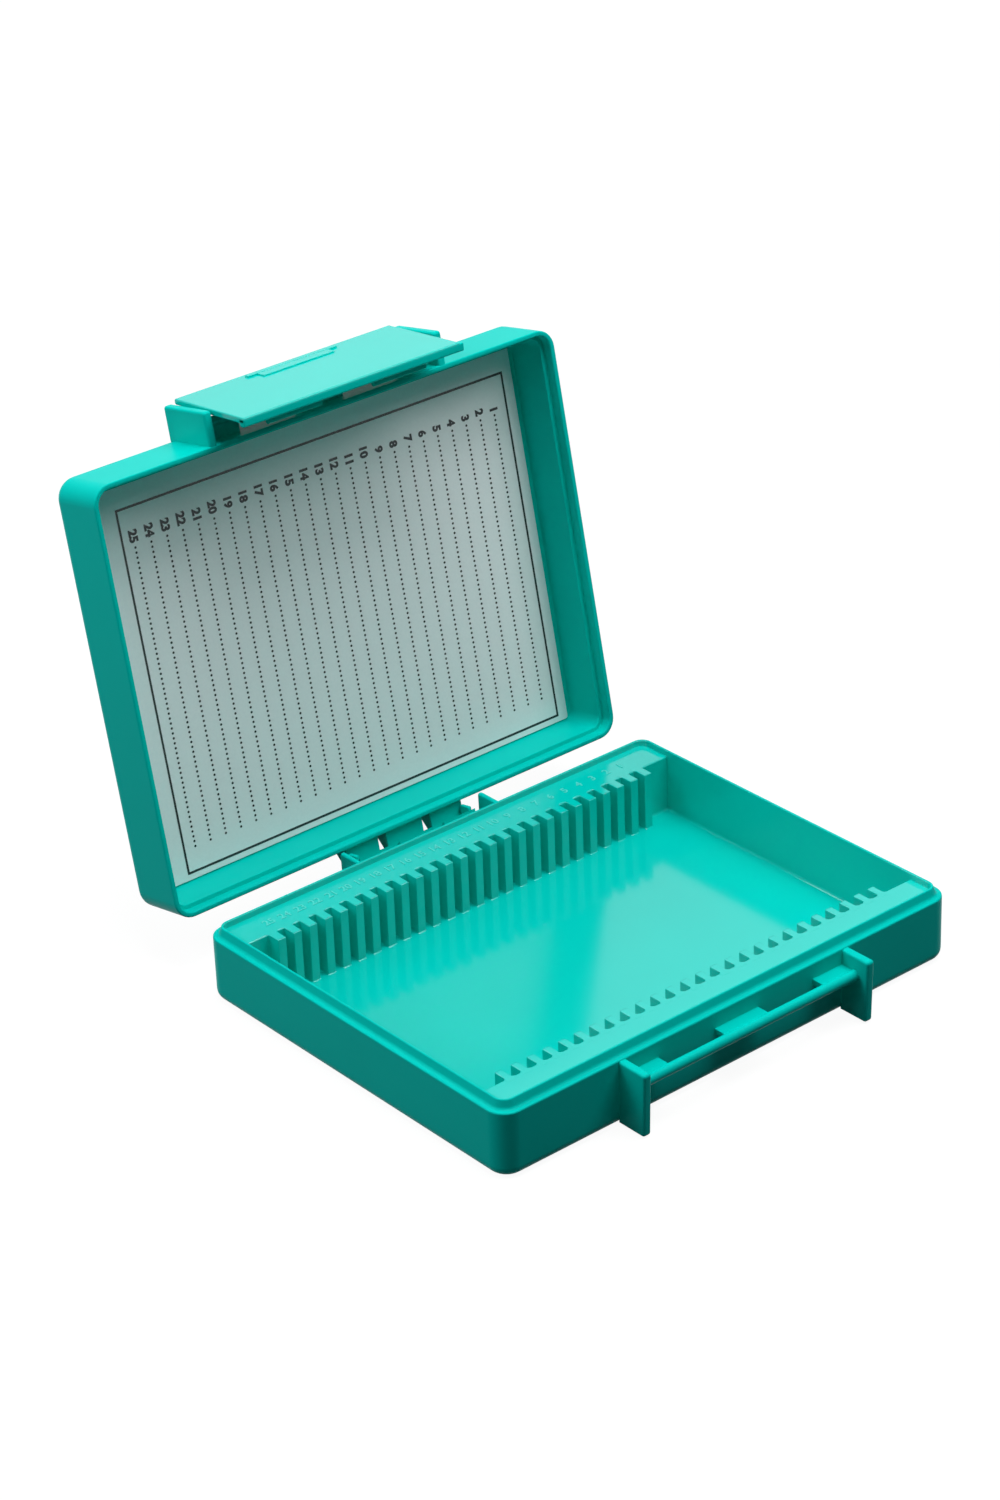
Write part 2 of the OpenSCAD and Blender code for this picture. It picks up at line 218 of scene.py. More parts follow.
def tray_floor():
    """Floor, ledge faces and ledge tops: one bent sheet, carried along the box and sunk in its walls. Its
    ends follow the walls' round corners: past a corner's centre, the half length falls as a circle does."""
    wall_y = INNER_WIDTH / 2 + SUNK
    front, rear = front_low.y, rear_high.y
    under_z = LEDGE_Z - LEDGE_SKIN
    corners = [
        (-wall_y, under_z),
        (front - LEDGE_SKIN, under_z),
        (front - LEDGE_SKIN, 0),
        (rear + LEDGE_SKIN, 0),
        (rear + LEDGE_SKIN, under_z),
        (wall_y, under_z),
        (wall_y, LEDGE_Z),
        (rear, LEDGE_Z),
        (rear, FLOOR_Z),
        (front, FLOOR_Z),
        (front, LEDGE_Z),
        (-wall_y, LEDGE_Z),
    ]
    top_radius = [LEDGE_ROUND, FLOOR_FILLET, FLOOR_FILLET, LEDGE_ROUND]
    sheet = rounded(corners, [0] * 7 + top_radius + [0])
    inner_radius = CORNER_RADIUS - WALL
    sunk_radius = inner_radius + SUNK
    corner_y = INNER_WIDTH / 2 - inner_radius
    turn_y = corner_y + sunk_radius * quarter(7)[0][:-1]
    edges = [(-turn_y[::-1], under_z), (turn_y, under_z), (turn_y[::-1], LEDGE_Z), (-turn_y, LEDGE_Z)]
    added = np.vstack([np.column_stack([y, np.full(len(y), z)]) for y, z in edges])
    rear_end = np.argmax(sheet[:, 0])
    places = np.repeat([1, rear_end, rear_end + 2, len(sheet) - 1], len(turn_y))
    sheet = np.insert(sheet, places, added, axis=0)
    past_corner = np.clip(np.abs(sheet[:, 0]) - corner_y, 0, sunk_radius)
    half_length = INNER_LENGTH / 2 - inner_radius + np.sqrt(sunk_radius**2 - past_corner**2)
    points = np.stack([np.column_stack([side * half_length, sheet]) for side in (-1, 1)])
    return points.reshape(-1, 3), loop_faces(2, len(sheet), True)


def side_fillet(side):
    """The hollow fillet where the floor meets a side wall, from ledge to ledge."""
    sine, cosine = quarter()
    off_wall = np.append(-SUNK, FLOOR_FILLET * (1 - sine))
    up = np.append(-SUNK, FLOOR_FILLET * (1 - cosine))
    points = np.empty((2, len(up), 3))
    points[..., 0] = side * (INNER_LENGTH / 2 - off_wall)
    points[..., 1] = np.array([[front_low.y], [rear_high.y]])
    points[..., 2] = FLOOR_Z + up
    faces = loop_faces(2, len(up), True)
    return points.reshape(-1, 3), faces if side > 0 else [face[::-1] for face in faces]


EAR_REACH = 7.6 * MM
EAR_DRAFT = 0.5 * MM
EAR_FOOT = 0.3 * MM
EAR_INSET = 0.1 * MM
EAR_ROUND = 0.7 * MM
EAR_EDGE = 0.6 * MM
ROD_RADIUS = 1.2 * MM
ROD_REACH = 3.9 * MM
ROD_DROP = 4.4 * MM
WEB_THICKNESS = 1.6 * MM
WEB_EDGE = 0.2 * MM
CATCH_GAP = 60.8 * MM
CATCH_EAR = 2.1 * MM
CATCH_WEB = 12.4 * MM
CATCH_WINDOW = 16.2 * MM
HINGE_GAP = 38.4 * MM
HINGE_EAR = 1.3 * MM
HINGE_WEB = 1.4 * MM
HINGE_WEB_X = 6.35 * MM


def circle(y, z, radius, count=24):
    """A counter-clockwise circle in Y-Z."""
    turn = np.linspace(0, 2 * math.pi, count, endpoint=False)
    return np.column_stack([y + radius * np.cos(turn), z + radius * np.sin(turn)])


def bracket(wall_height, gap, ear, draft, webs):
    """Two ears with a rod between them, and webs (middle, width) from the wall to the rod. The wall is the
    plane y = 0, the bracket stands towards -Y, and the seam is z = 0."""
    foot = -(wall_height - EAR_FOOT)
    ear_outline = rounded(
        [(SUNK, -EAR_INSET), (-EAR_REACH, -EAR_INSET), (-EAR_REACH + draft, foot), (SUNK, foot)],
        [0, EAR_ROUND, EAR_ROUND, 0],
    )
    low, high = -ROD_DROP - WEB_THICKNESS / 2, -ROD_DROP + WEB_THICKNESS / 2
    web_outline = np.array([(-ROD_REACH, low), (SUNK, low), (SUNK, high), (-ROD_REACH, high)])
    rod_end = gap / 2 + SUNK
    parts = [bar_along_x(circle(-ROD_REACH, -ROD_DROP, ROD_RADIUS), -rod_end, rod_end, 0)]
    for side in (-1, 1):
        middle = side * (gap + ear) / 2
        parts.append(bar_along_x(ear_outline, middle - ear / 2, middle + ear / 2, EAR_EDGE))
    for middle, width in webs:
        parts.append(bar_along_x(web_outline, middle - width / 2, middle + width / 2, WEB_EDGE))
    return joined(parts)


def flipped(part, axis):
    """A part mirrored across the plane square to an axis at the origin, with its faces turned back."""
    points, faces = part
    mirrored = points.copy()
    mirrored[:, axis] *= -1
    return mirrored, [face[::-1] for face in faces]


def moved(part, offset):
    """A part moved by an offset."""
    points, faces = part
    return points + np.array(offset), faces


side_web = (CATCH_GAP - CATCH_WEB) / 2 - CATCH_WINDOW
side_web_x = CATCH_GAP / 2 - side_web / 2
side_web_width = side_web + 2 * EAR_EDGE
catch_webs = [(0, CATCH_WEB), (-side_web_x, side_web_width), (side_web_x, side_web_width)]
hinge_webs = [(-HINGE_WEB_X, HINGE_WEB), (HINGE_WEB_X, HINGE_WEB)]
catch_bracket = bracket(SHOULDER_Z, CATCH_GAP, CATCH_EAR, EAR_DRAFT, catch_webs)
hinge_bracket = flipped(bracket(SHOULDER_Z, HINGE_GAP, HINGE_EAR, EAR_DRAFT, hinge_webs), 1)
tray_parts = joined(
    [
        tray_walls(),
        tray_floor(),
        side_fillet(-1),
        side_fillet(1),
        moved(catch_bracket, (0, -BOX_WIDTH / 2, SHOULDER_Z)),
        moved(hinge_bracket, (0, BOX_WIDTH / 2, SHOULDER_Z)),
    ]
)


def linear(code):
    """An sRGB hex colour as linear RGBA."""
    srgb = np.array([int(code[i : i + 2], 16) for i in (1, 3, 5)]) / 255
    rgb = np.where(srgb <= 0.04045, srgb / 12.92, ((srgb + 0.055) / 1.055) ** 2.4)
    return (*rgb.tolist(), 1.0)


def node(tree, kind, links=(), **settings):
    """Adds one node. Settings fill its properties or inputs by name; links are (input, socket) pairs."""
    made = tree.nodes.new(kind)
    for key, value in settings.items():
        if hasattr(made, key):
            setattr(made, key, value)
        else:
            made.inputs[key.replace("_", " ")].default_value = value
    for name, socket in links:
        tree.links.new(socket, made.inputs[name])
    return made


# Moulded ABS is dyed through: its colour is even, with a faint cloudiness where the melt flowed. The mould
# sets its shine, and its grain is drawn coarser than it is so that it shows.
ABS_IOR = 1.54
FLOW_MOTTLE = 14 * MM
FLOW_TINT = 0.03
GLOSS_SPREAD = 0.1


def moulded_abs(name, colour, roughness, grain_mm, grain_depth_mm, specular):
    """Moulded ABS: the colour with its flow mottle, and the mould's grain as bump and as uneven gloss."""
    material = bpy.data.materials.new(name)
    material.use_nodes = True
    tree = material.node_tree
    tree.nodes.clear()
    place = node(tree, "ShaderNodeTexCoord").outputs["Object"]
    flow = node(tree, "ShaderNodeTexNoise", [("Vector", place)], Scale=1 / FLOW_MOTTLE, Detail=2.0)
    shade = node(
        tree,
        "ShaderNodeMapRange",
        [("Value", flow.outputs["Fac"])],
        To_Min=1 - FLOW_TINT,
        To_Max=1 + FLOW_TINT,
    )
    tint = node(tree, "ShaderNodeHueSaturation", [("Value", shade.outputs["Result"])], Color=linear(colour))
    grain = node(tree, "ShaderNodeTexNoise", [("Vector", place)], Scale=1 / (grain_mm * MM), Detail=3.0)
    bump = node(tree, "ShaderNodeBump", [("Height", grain.outputs["Fac"])], Distance=grain_depth_mm * MM)
    gloss = node(
        tree,
        "ShaderNodeMapRange",
        [("Value", grain.outputs["Fac"])],
        To_Min=roughness * (1 - GLOSS_SPREAD),
        To_Max=roughness * (1 + GLOSS_SPREAD),
    )
    shader = node(
        tree,
        "ShaderNodeBsdfPrincipled",
        [
            ("Base Color", tint.outputs["Color"]),
            ("Roughness", gloss.outputs["Result"]),
            ("Normal", bump.outputs["Normal"]),
        ],
        IOR=ABS_IOR,
    )
    shader.inputs["Specular IOR Level"].default_value = specular
    node(tree, "ShaderNodeOutputMaterial", [("Surface", shader.outputs["BSDF"])])
    return material


TEAL = "#00cbc0"

# From the textured cavity: a fine grain that spreads the highlights until hardly any shine is left
satin_abs = moulded_abs(
    "satin_moulded_abs", TEAL, roughness=0.35, grain_mm=0.35, grain_depth_mm=0.004, specular=0.02
)

# From the polished core: slow waves and clear reflections, so that the tray's floor mirrors its ribs
polished_abs = moulded_abs(
    "polished_moulded_abs", TEAL, roughness=0.12, grain_mm=2.5, grain_depth_mm=0.002, specular=0.5
)


def polish_inside(piece, half_size, radius, low_z):
    """Faces above a height, with their middle in a round-cornered rectangle, take the second material."""
    mesh = piece.data
    middle = np.zeros(len(mesh.polygons) * 3)
    mesh.polygons.foreach_get("center", middle)
    middle = middle.reshape(-1, 3)
    past_corner = np.maximum(np.abs(middle[:, :2]) - (half_size - radius), 0)
    inside = (np.linalg.norm(past_corner, axis=1) < radius) & (middle[:, 2] > low_z)
    mesh.polygons.foreach_set("material_index", inside.astype(np.int32))


POLISH_MARGIN = 0.1 * MM
POLISH_FROM_Z = 1 * MM
tray = finished("tray", *tray_parts, [satin_abs, polished_abs], "base", "teal_abs", ["base_tray"])
half_inside = np.array([INNER_LENGTH / 2, INNER_WIDTH / 2]) + POLISH_MARGIN
polish_inside(tray, half_inside, CORNER_RADIUS - WALL + POLISH_MARGIN, POLISH_FROM_Z)


# Slide racks
# 26 ribs on each ledge, moulded in one with the tray and polished as its inside is. The slots between them
# have round ends, the ribs' tips and upper edges are rounded, and a small fillet runs round each foot.

RIBS = 26
RIB_THICKNESS = 1.8 * MM
REAR_SWELL = 0.35 * MM
TIP_RADIUS = 0.16 * MM
ROOT_RADIUS = 0.45 * MM
TOP_RADIUS = 0.2 * MM
FOOT_RADIUS = 0.3 * MM
INTO_LEDGE = 1.2 * MM

# A rib's top stands this little above the ledge, so that the two faces don't lie in one plane
PROUD = 0.015 * MM


def rib_outline(inset, thickness, reach):
    """One rib seen from above, drawn in by each inset: back corner, hollow root arc and tip arc, then the
    same mirrored. u is across the rib and v is out from the ledge. Shape: insets, points, 2."""
    inset = np.asarray(inset)[:, None]
    half = thickness / 2
    sine, cosine = (wave[None, :] for wave in quarter(6))
    root_u = -(half + ROOT_RADIUS) + (ROOT_RADIUS + inset) * sine
    root_v = ROOT_RADIUS - (ROOT_RADIUS + inset) * cosine
    tip_u = -half + TIP_RADIUS - (TIP_RADIUS - inset) * cosine
    tip_v = reach - TIP_RADIUS + (TIP_RADIUS - inset) * sine
    back_u = np.full_like(inset, -(half + ROOT_RADIUS))
    back_v = np.full_like(inset, -INTO_LEDGE)
    u = np.hstack([back_u, root_u, tip_u])
    v = np.hstack([back_v, root_v, tip_v])
    return np.stack([np.hstack([u, -u[:, ::-1]]), np.hstack([v, v[:, ::-1]])], axis=-1)


def rack(node_name, name, thickness, outward):
    """A row of ribs: the rib's outline is carried up from a flared foot to a rounded top, and repeated."""
    low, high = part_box(node_name)
    sine, cosine = quarter()
    inset = np.concatenate([-FOOT_RADIUS * (1 - sine), TOP_RADIUS * (1 - cosine)])
    foot_z = low.z + FOOT_RADIUS * (1 - cosine)
    z = np.concatenate([foot_z, high.z + PROUD - TOP_RADIUS * (1 - sine)])
    outline = rib_outline(inset, thickness, high.y - low.y)[:, ::-1]
    levels, count = outline.shape[:2]
    centre = np.linspace(low.x + RIB_THICKNESS / 2, high.x - RIB_THICKNESS / 2, RIBS)
    points = np.empty((RIBS, levels, count, 3))
    points[..., 0] = centre[:, None, None] + outward * outline[None, ..., 0]
    points[..., 1] = (low.y if outward > 0 else high.y) + outward * outline[None, ..., 1]
    points[..., 2] = z[None, :, None]
    rib_faces = loop_faces(levels, count, True)
    parts = joined([(rib.reshape(-1, 3), rib_faces) for rib in points])
    return finished(name, *parts, [polished_abs], "base", "teal_abs", [node_name])


rack("front_ribs", "front_rack", RIB_THICKNESS, 1)
rack("rear_ribs", "rear_rack", RIB_THICKNESS + REAR_SWELL, -1)


# Ledge numbers
# Small raised numbers behind the slots of the rear rack, one for each slide. They were etched into the
# mould, which leaves them rough, so they scatter more light than the polished ledge. Their colour is also a
# paler teal than the tray's, a painted sheen for the light they catch.

SLIDES = 25
LEDGE_DIGIT = 2.1 * MM
LEDGE_DIGIT_BOLDNESS = 0.01
LEDGE_DIGIT_RISE = 0.1 * MM
LEDGE_DIGIT_SUNK = 0.02 * MM
LEDGE_DIGIT_Y = 42.3 * MM
# Painted sheen: a paler teal than the tray's own colour, for the light that the raised numbers catch
PAINTED_SHEEN_TEAL = "#48d2c8"


def numeral(number, height, boldness, depth):
    """A number as points and faces, of the given digit height, with its lower left corner at 0."""
    curve = bpy.data.curves.new("numeral", "FONT")
    curve.body = str(number)
    curve.offset = boldness
    curve.extrude = depth / height / 2
    curve.resolution_u = 3
    holder = bpy.data.objects.new("numeral", curve)
    bpy.context.scene.collection.objects.link(holder)
    mesh = holder.to_mesh()
    points = np.zeros(len(mesh.vertices) * 3)
    mesh.vertices.foreach_get("co", points)
    points = points.reshape(-1, 3)
    faces = [list(face.vertices) for face in mesh.polygons]
    holder.to_mesh_clear()
    bpy.data.objects.remove(holder)
    bpy.data.curves.remove(curve)
    points -= points.min(axis=0)
    return points * (height / points[:, 1].max()), faces


slot_pitch = (rear_high.x - rear_low.x - RIB_THICKNESS) / SLIDES
slot_x = rear_high.x - RIB_THICKNESS / 2 - slot_pitch * (np.arange(SLIDES) + 0.5)
ledge_numbers = []
for i in range(SLIDES):
    shape, shape_faces = numeral(i + 1, LEDGE_DIGIT, LEDGE_DIGIT_BOLDNESS, LEDGE_DIGIT_RISE)
    left = slot_x[i] - shape[:, 0].max() / 2
    offset = (left, LEDGE_DIGIT_Y - LEDGE_DIGIT / 2, LEDGE_Z - LEDGE_DIGIT_SUNK)
    ledge_numbers.append(moved((shape, shape_faces), offset))
# The numbers' rough etched finish, coloured with the painted-sheen teal instead of the tray's own teal
etched_abs_painted_sheen = moulded_abs(
    "etched_moulded_abs_painted_sheen", PAINTED_SHEEN_TEAL, roughness=0.55, grain_mm=0.3, grain_depth_mm=0.01, specular=0.5
)
finished("ledge_numbers", *joined(ledge_numbers), [etched_abs_painted_sheen], "base", "teal_abs")


# Lid
# The second ABS shell: the rebate in its rim takes the tray's lip, two ears and a rod in front carry the
# latch, and three knuckles behind snap on the tray's hinge rod. It stands open against the knuckles' heels.
# Its finish is the satin of the tray's outside.

hinge = next(joint for joint in frame["joints"] if joint["name"] == "lid_hinge")
hinge_place = np.array(hinge["pos_m"])
open_angle = math.radians(hinge["range_deg"][1])
SEAM_GAP = 0.3 * MM
RIM_Z = SHOULDER_Z + SEAM_GAP
LID_HEIGHT = 15.5 * MM
LID_TOP_Z = RIM_Z + LID_HEIGHT
LID_WALL = 2.2 * MM
LID_TOP = 2.2 * MM
LID_INNER_RADIUS = 2.5 * MM
CEILING_FILLET = 0.45 * MM
RIM_INSET = 1.2 * MM
REBATE_Z = RIM_Z + 2.65 * MM
RIM_ROUND = 0.35 * MM
STEP_ROUND = 0.2 * MM


def turned(points, angle):
    """Points turned about the hinge rod by an angle about +X."""
    c, s = math.cos(angle), math.sin(angle)
    turn = np.array([[1, 0, 0], [0, c, -s], [0, s, c]])
    return (points - hinge_place) @ turn.T + hinge_place


def opened(part):
    """A part drawn on the shut box, turned open with the lid."""
    points, faces = part
    return turned(points, -open_angle), faces


def lid_walls():
    """Ceiling fillet, inner face, rebate, rim, outer face and upper edge as one profile, with two caps."""
    sine, cosine = quarter()
    ceiling_z = LID_TOP_Z - LID_TOP
    fillet = LID_WALL + CEILING_FILLET * (1 - sine)
    step = LID_WALL - STEP_ROUND * (1 - cosine)
    rim_inner = RIM_INSET - RIM_ROUND * (1 - cosine)
    rim_outer = RIM_ROUND * (1 - sine)
    edge = EDGE_RADIUS * (1 - quarter(9)[1])
    inset = np.concatenate([fillet, step, [RIM_INSET], rim_inner, rim_outer, edge])
    z = np.concatenate(
        [
            ceiling_z - CEILING_FILLET * (1 - cosine),
            REBATE_Z + STEP_ROUND * (1 - sine),
            [REBATE_Z],
            RIM_Z + RIM_ROUND * (1 - sine),
            RIM_Z + RIM_ROUND * (1 - cosine),
            LID_TOP_Z - EDGE_RADIUS * (1 - quarter(9)[0]),
        ]
    )
    inner = LID_INNER_RADIUS + LID_WALL - np.concatenate([fillet, step])
    radius = np.concatenate([inner, CORNER_RADIUS - inset[len(inner) :]])
    return swept_round_box(inset, radius, z, BOX_LENGTH, BOX_WIDTH, capped=True)


KNUCKLE_RADIUS = 2.6 * MM
BORE_RADIUS = 1.25 * MM
MOUTH = 1.9 * MM
KNUCKLE_ROOT = 7.2 * MM
KNUCKLE_BACK = 1.5 * MM
ARM = 1.65 * MM
CHEEK = 1 * MM
CHEEK_DROP = 2.3 * MM
STOP_GAP = 0.15 * MM
MID_KNUCKLE = 10.4 * MM
END_KNUCKLE = 9.2 * MM
END_KNUCKLE_X = 12.1 * MM
MOULD_EDGE = 0.25 * MM
ARM_IN = KNUCKLE_RADIUS - ARM
RIM_UP = ROD_DROP + SEAM_GAP
KNUCKLE_RECESS = 1.2 * MM


def arc(radius, start, end, count):
    """Points of an arc about the origin, from one angle to another in radians."""
    turn = np.linspace(start, end, count)
    return radius * np.column_stack([np.cos(turn), np.sin(turn)])


def knuckle_outline():
    """A ring open towards the box, an arm from its back to a root on the lid's wall, and a heel below the
    arm, about the rod's axis."""
    heel_foot = -(ROD_REACH - STOP_GAP + np.array([ARM_IN, KNUCKLE_RADIUS]) * math.cos(open_angle))
    heel_foot /= math.sin(open_angle)
    lip = math.asin(MOUTH / 2 / KNUCKLE_RADIUS)
    throat = math.asin(MOUTH / 2 / BORE_RADIUS)
    at_arm = math.acos(ARM_IN / KNUCKLE_RADIUS)
    return np.vstack(
        [
            arc(KNUCKLE_RADIUS, math.pi + lip, 2 * math.pi - at_arm, 14),
            [(ARM_IN, heel_foot[0]), (KNUCKLE_RADIUS, heel_foot[1])],
            [(KNUCKLE_RADIUS, RIM_UP + KNUCKLE_BACK), (-ROD_REACH - SUNK, RIM_UP + KNUCKLE_ROOT)],
            [(-ROD_REACH - SUNK, RIM_UP + KNUCKLE_RECESS), (ARM_IN, RIM_UP + KNUCKLE_RECESS)],
            arc(KNUCKLE_RADIUS, at_arm, math.pi - lip, 12),
            arc(BORE_RADIUS, math.pi - throat, -math.pi + throat, 22),
        ]
    )


def knuckle(x, width):
    """One knuckle on the hinge axis."""
    outline = knuckle_outline() + hinge_place[1:]
    return bar_along_x(outline, x - width / 2, x + width / 2, MOULD_EDGE / 2)


def cheek(side):
    """The plate that closes an outer knuckle between its ring, its arm and the lid's rim."""
    low, high = RIM_UP - CHEEK_DROP, RIM_UP + SUNK
    inner = ARM_IN + SUNK
    corners = [(-KNUCKLE_RADIUS, low), (inner, low), (inner, high), (-KNUCKLE_RADIUS, high)]
    outer_end = END_KNUCKLE_X + END_KNUCKLE / 2
    ends = sorted([side * (outer_end - CHEEK), side * outer_end])
    outline = rounded(corners, [MOULD_EDGE, 0, 0, 0]) + hinge_place[1:]
    return bar_along_x(outline, *ends, MOULD_EDGE / 2)


latch_bracket = flipped(bracket(LID_HEIGHT, CATCH_GAP, CATCH_EAR, 0.0, catch_webs), 2)
lid_parts = joined(
    [
        lid_walls(),
        moved(latch_bracket, (0, -BOX_WIDTH / 2, RIM_Z)),
        knuckle(0, MID_KNUCKLE),
        knuckle(-END_KNUCKLE_X, END_KNUCKLE),
        knuckle(END_KNUCKLE_X, END_KNUCKLE),
        cheek(-1),
        cheek(1),
    ]
)
finished("lid_shell", *opened(lid_parts), [satin_abs], "cover", "teal_abs", ["lid"])


# Latch
# A moulded ABS rocker: two hooks snap on the lid's rod, two jaws catch the tray's rod, and a stepped thumb
# pad and a lip along the pull end give the fingers a grip. Its plate is glossy, its inner side is satin.

LATCH_WIDTH = 60 * MM
LATCH_SHORT = 1 * MM
LATCH_THICKNESS = 1.4 * MM
LATCH_STAND = 2.6 * MM
LATCH_THUMB = 10.2 * MM
LATCH_PULL = 14.1 * MM
LATCH_LEAN = math.radians(4.3)
PULL_LIP_HALF = 0.9 * MM
PULL_LIP_TALL = 2.2 * MM
PULL_LIP_EDGE = 0.3 * MM
PULL_LIP_ROUND = 0.5 * MM
PLATE_EDGE = 0.3 * MM
PLATE_FOOT_ROUND = 0.4 * MM
PLATE_THUMB_ROUND = 0.54 * MM

# A satin face lies this little outside the glossy one that it covers
FLUSH = 0.02 * MM

HOOK_RADIUS = 2.4 * MM
HOOK_WIDTH = 14.6 * MM
HOOK_EDGE = 0.15 * MM
HOOK_X = (CATCH_WEB + CATCH_WINDOW) / 2
JAW_THICKNESS = 1.3 * MM
JAW_REACH = 1.1 * MM
JAW_CLEAR = 0.3 * MM
JAW_ROUND = 0.6 * MM
JAW_EDGE = 0.2 * MM

# Each step of the thumb pad: width, distance of its front and its rear from the thumb edge, and rise
PAD_STEPS = [
    (19.4 * MM, 5.3 * MM, 2.9 * MM, 0.32 * MM),
    (24.4 * MM, 3.0 * MM, 1.7 * MM, 0.4 * MM),
]
PAD_SUNK = 0.3 * MM
PAD_ROUND = 0.15 * MM
PAD_EDGE = 0.12 * MM
RISER_EDGE = 0.1 * MM


def hook_outline():
    """A ring round the lid's rod, open towards the wall, on a block that joins the plate."""
    lip = math.asin(MOUTH / 2 / HOOK_RADIUS)
    throat = math.asin(MOUTH / 2 / BORE_RADIUS)
    back = -LATCH_STAND - LATCH_THICKNESS / 2
    return np.vstack(
        [
            [(back, -HOOK_RADIUS)],
            arc(HOOK_RADIUS, -math.pi / 2, -lip, 9),
            arc(BORE_RADIUS, -throat, -2 * math.pi + throat, 22),
            arc(HOOK_RADIUS, lip, math.pi / 2, 9),
            [(back, HOOK_RADIUS)],
        ]
    )


def latch_body():
    """Plate, pull lip and pad steps, then hooks and jaws, about the lid's rod, before the plate's lean."""
    outer = -LATCH_STAND - LATCH_THICKNESS
    pull_end = -LATCH_PULL - PULL_LIP_HALF
    plate = rounded(
        [(outer, pull_end), (-LATCH_STAND, pull_end), (-LATCH_STAND, LATCH_THUMB), (outer, LATCH_THUMB)],
        [PLATE_FOOT_ROUND, 0, PLATE_THUMB_ROUND, PLATE_THUMB_ROUND],
    )
    plate_low, plate_high = -LATCH_WIDTH / 2, LATCH_WIDTH / 2 - LATCH_SHORT
    lip_out, lip_in = outer + PULL_LIP_EDGE, outer + PULL_LIP_TALL
    lip_low, lip_high = pull_end - FLUSH, pull_end + 2 * PULL_LIP_HALF
    lip = rounded(
        [(lip_out, lip_low), (lip_in, lip_low), (lip_in, lip_high), (lip_out, lip_high)],
        [PULL_LIP_EDGE, PULL_LIP_ROUND, PULL_LIP_ROUND, 0],
    )
    outside = [bar_along_x(plate, plate_low, plate_high, PLATE_EDGE)]
    inner_side = [bar_along_x(lip, -LATCH_WIDTH / 2, LATCH_WIDTH / 2, PLATE_EDGE)]
    for width, front, rear, rise in PAD_STEPS:
        top, inside = outer - rise, outer + PAD_SUNK
        foot, head = LATCH_THUMB - front, LATCH_THUMB - rear
        pad_corners = [(top, foot), (inside, foot), (inside, head), (top, head)]
        pad = rounded(pad_corners, [PAD_ROUND, 0, 0, PAD_ROUND])
        outside.append(bar_along_x(pad, -width / 2, width / 2, PAD_EDGE))
        riser = np.array([(top, foot), (inside, foot), (inside, foot + rise), (top, foot + rise)])
        riser += (RISER_EDGE, -FLUSH)
        inner_side.append(bar_along_x(riser, RISER_EDGE - width / 2, width / 2 - RISER_EDGE, 0))
    rods_apart = 2 * ROD_DROP + SEAM_GAP
    jaw_top = -rods_apart * math.cos(LATCH_LEAN) - ROD_RADIUS - JAW_CLEAR
    jaw_tip = -rods_apart * math.sin(LATCH_LEAN) + JAW_REACH
    back = -LATCH_STAND - LATCH_THICKNESS / 2
    jaw_low = jaw_top - JAW_THICKNESS
    jaw = rounded(
        [(back, jaw_low), (jaw_tip, jaw_low), (jaw_tip, jaw_top), (back, jaw_top)],
        [0, JAW_ROUND, JAW_ROUND, 0],
    )
    for x in (-HOOK_X, HOOK_X):
        low, high = x - HOOK_WIDTH / 2, x + HOOK_WIDTH / 2
        inner_side.append(bar_along_x(hook_outline(), low, high, HOOK_EDGE))
        inner_side.append(bar_along_x(jaw, low, high, JAW_EDGE))
    return joined(outside), joined(inner_side)


def leaned(part, angle):
    """A part turned about its own X axis."""
    points, faces = part
    c, s = math.cos(angle), math.sin(angle)
    return points @ np.array([[1, 0, 0], [0, c, s], [0, -s, c]]), faces


latch_place = (0, -BOX_WIDTH / 2 - ROD_REACH, RIM_Z + ROD_DROP)
latch_outside, latch_inner_side = latch_body()
latch_parts = opened(moved(leaned(joined([latch_outside, latch_inner_side]), LATCH_LEAN), latch_place))

# From a polished face of the mould: smooth, so that the plate shows the lamps as broad pale sheens
latch_abs = moulded_abs(
    "glossy_moulded_abs", TEAL, roughness=0.15, grain_mm=2.5, grain_depth_mm=0.002, specular=0.25
)
latch = finished("rocker_latch", *latch_parts, [latch_abs, satin_abs], "clasp", "teal_abs", ["latch"])
latch_finish = np.repeat([0, 1], [len(latch_outside[1]), len(latch_inner_side[1])]).astype(np.int32)
latch.data.polygons.foreach_set("material_index", latch_finish)


# Index card
# A sheet of white uncoated card that lies in the lid, against its top. Offset print in black: a frame, and
# for each slide a number and a dotted line to write on.


def shut_box(node_name):
    """Lowest and highest corner of a lid node with the lid turned shut."""
    mesh = frame["nodes"][node_name].data
    points = np.zeros(len(mesh.vertices) * 3)
    mesh.vertices.foreach_get("co", points)
    shut = turned(points.reshape(-1, 3), open_angle)
    return shut.min(axis=0), shut.max(axis=0)


card_low, card_high = shut_box("index_card")
card_size = card_high - card_low
CARD_CORNER = 0.6 * MM
CARD_EDGE = 0.1 * MM
FIBRE = 0.6 * MM
FELT_DEPTH = 0.01 * MM

